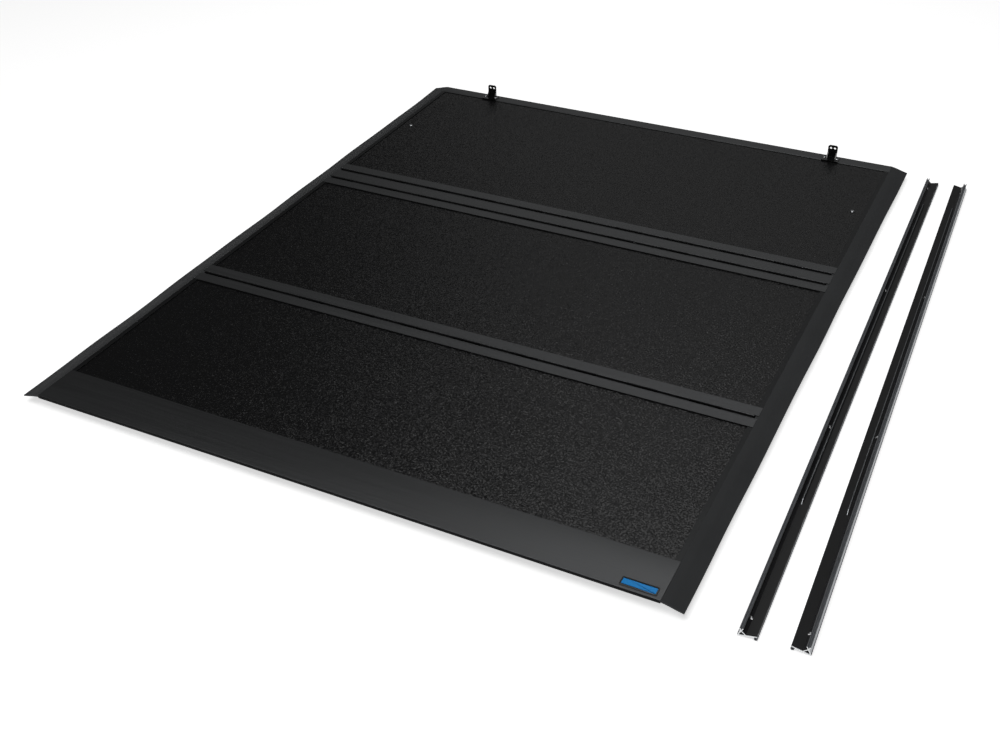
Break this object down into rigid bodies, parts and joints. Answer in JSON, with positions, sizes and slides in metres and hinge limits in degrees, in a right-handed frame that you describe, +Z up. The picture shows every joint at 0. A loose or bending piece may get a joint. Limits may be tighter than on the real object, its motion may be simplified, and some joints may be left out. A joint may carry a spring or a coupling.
{
  "type": "tonneau cover",
  "caption": "Hard tri-fold truck bed cover with three framed panels, a double and a single hinge, side flaps, front brackets, latches and loose bed rails.",
  "frame": {"origin": "on the underside, in the middle of the middle panel, where its cross bow rests", "axes": "+Z up out of the top face, +Y towards the cab end with the brackets, +X towards the side where the loose rails lie"},
  "size_m": [1.8351, 1.979, 0.072],
  "materials": {
    "skin": "fine orange-peel texture, semi-matt black",
    "core": "closed-cell foam",
    "liner": "smooth glass-fibre sheet",
    "extrusion": "dark satin anodised aluminium",
    "trim_plate": "dark satin anodised aluminium",
    "side_extrusion": "satin, with a bright edge",
    "bow": "satin anodised",
    "pin_steel": "drawn rod",
    "zinc_steel": "bright zinc plate",
    "black_steel": "gloss black powder coat",
    "flap_rubber": "smooth, semi-matt",
    "seal_rubber": "matt",
    "badge": "blue with a dark border",
    "guide_plastic": "moulded",
    "rail": "gloss black over aluminium",
    "catch_strip": "mill finish"
  },
  "bodies": {
    "front_panel": {"front_skin": "skin", "front_core": "core", "front_liner": "liner", "front_edge_extrusion": "extrusion", "front_side_extrusion_left": "side_extrusion", "front_side_extrusion_right": "side_extrusion", "front_hinge_leaf": "extrusion", "front_hinge_pin": "pin_steel", "front_cross_bow": "bow", "bulkhead_seal": "seal_rubber", "front_flap_left": "flap_rubber", "front_flap_right": "flap_rubber", "front_bracket_left": "black_steel", "front_bracket_right": "black_steel", "bracket_screws": "zinc_steel", "hold_down_bolts": "zinc_steel"},
    "jaw_left": {"hold_down_jaw_left": "zinc_steel"},
    "jaw_right": {"hold_down_jaw_right": "zinc_steel"},
    "spacer": {"hinge_spacer": "extrusion", "spacer_hinge_pin": "pin_steel", "spacer_seals": "seal_rubber", "spacer_flap_left": "flap_rubber", "spacer_flap_right": "flap_rubber"},
    "middle_panel": {"middle_skin": "skin", "middle_core": "core", "middle_liner": "liner", "middle_side_extrusion_left": "side_extrusion", "middle_side_extrusion_right": "side_extrusion", "middle_front_leaf": "extrusion", "middle_rear_leaf": "extrusion", "middle_hinge_pin": "pin_steel", "middle_cross_bow": "bow", "middle_flap_left": "flap_rubber", "middle_flap_right": "flap_rubber"},
    "rear_panel": {"rear_skin": "skin", "rear_core": "core", "rear_liner": "liner", "rear_side_extrusion_left": "side_extrusion", "rear_side_extrusion_right": "side_extrusion", "rear_hinge_leaf": "extrusion", "rear_hinge_seal": "seal_rubber", "rear_trim_extrusion": "trim_plate", "tail_seal": "seal_rubber", "rear_badge": "badge", "rear_cross_bow": "bow", "rear_flap_left": "flap_rubber", "rear_flap_right": "flap_rubber", "latch_guides": "guide_plastic", "latch_screws": "zinc_steel", "latch_springs": "zinc_steel", "handle_pivot": "zinc_steel"},
    "latch_bolt_left": {"latch_bolt_left": "zinc_steel"},
    "latch_bolt_right": {"latch_bolt_right": "zinc_steel"},
    "release_handle": {"release_handle": "black_steel"},
    "bed_rail_left": {"bed_rail_left": "rail", "rail_catch_strip_left": "catch_strip", "rail_seal_left": "seal_rubber"},
    "bed_rail_right": {"bed_rail_right": "rail", "rail_catch_strip_right": "catch_strip", "rail_seal_right": "seal_rubber"}
  },
  "joints": [
    {"name": "front_fold", "type": "hinge", "parent": "front_panel", "child": "spacer", "pos_m": [0, 0.363, 0.034], "axis": [-1, 0, 0], "range_deg": [0, 90]},
    {"name": "middle_fold", "type": "hinge", "parent": "spacer", "child": "middle_panel", "pos_m": [0, 0.308, 0.034], "axis": [-1, 0, 0], "range_deg": [0, 90]},
    {"name": "rear_fold", "type": "hinge", "parent": "middle_panel", "child": "rear_panel", "pos_m": [0, -0.308, 0.034], "axis": [-1, 0, 0], "range_deg": [0, 180]},
    {"name": "jaw_left_turn", "type": "hinge", "parent": "front_panel", "child": "jaw_left", "pos_m": [-0.714, 0.731, 0.007], "axis": [0, 0, -1], "range_deg": [0, 90]},
    {"name": "jaw_right_turn", "type": "hinge", "parent": "front_panel", "child": "jaw_right", "pos_m": [0.714, 0.731, 0.007], "axis": [0, 0, 1], "range_deg": [0, 90]},
    {"name": "handle_turn", "type": "hinge", "parent": "rear_panel", "child": "release_handle", "pos_m": [0, -0.738, 0.0115], "axis": [0, 0, 1], "range_deg": [0, 45], "stiffness_Nm_per_rad": 0.25},
    {"name": "latch_left_slide", "type": "slide", "parent": "rear_panel", "child": "latch_bolt_left", "axis": [1, 0, 0], "range_m": [0, 0.0175]},
    {"name": "latch_right_slide", "type": "slide", "parent": "rear_panel", "child": "latch_bolt_right", "axis": [-1, 0, 0], "range_m": [0, 0.0175]},
    {"name": "rail_left_lift", "type": "slide", "parent": "front_panel", "child": "bed_rail_left", "axis": [0, 0, 1], "range_m": [0, 0.3]},
    {"name": "rail_right_lift", "type": "slide", "parent": "front_panel", "child": "bed_rail_right", "axis": [0, 0, 1], "range_m": [0, 0.3]}
  ],
  "couplings": [
    {"joint": "latch_left_slide", "follows": "handle_turn", "m_per_rad": 0.0222},
    {"joint": "latch_right_slide", "follows": "handle_turn", "m_per_rad": 0.0222}
  ]
}
